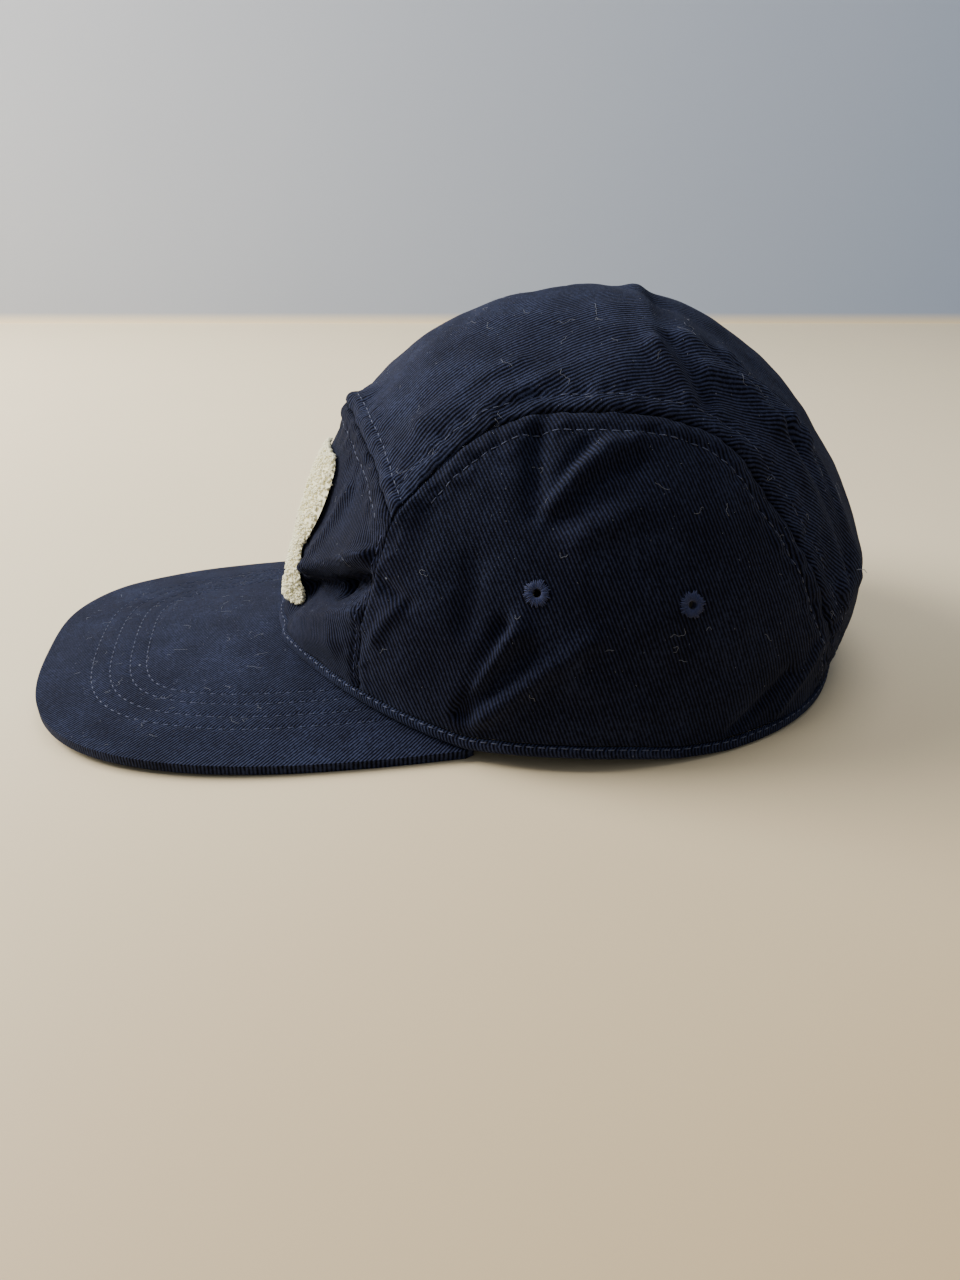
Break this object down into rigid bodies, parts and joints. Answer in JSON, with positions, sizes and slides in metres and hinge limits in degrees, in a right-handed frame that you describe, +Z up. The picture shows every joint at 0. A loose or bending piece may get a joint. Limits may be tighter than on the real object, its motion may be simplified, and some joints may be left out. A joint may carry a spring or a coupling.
{
  "type": "camp cap",
  "caption": "Soft cloth camp cap with a low front panel, a strip over the crown, a nearly flat stitched peak, eyelets, a raised patch and a strapped opening at the back.",
  "frame": {"origin": "middle of the bounding box on the surface that the cap rests on", "axes": "+Z up, the peak towards -Y, the back towards +Y, the wearer's left side towards +X"},
  "size_m": [0.1892, 0.273, 0.118],
  "materials": {
    "cloth": "matt navy cotton twill",
    "thread": "matt navy embroidery thread",
    "chenille": "cream looped chenille",
    "slide_metal": "dark satin metal"
  },
  "bodies": {
    "root": {"front_panel": "cloth", "top_panel": "cloth", "side_panel_left": "cloth", "side_panel_right": "cloth", "edge_band": "cloth", "peak": "cloth", "back_strap": "cloth", "eyelet_left_front": "thread", "eyelet_left_rear": "thread", "eyelet_right_front": "thread", "eyelet_right_rear": "thread", "patch": "chenille", "strap_slide": "slide_metal"}
  },
  "joints": []
}
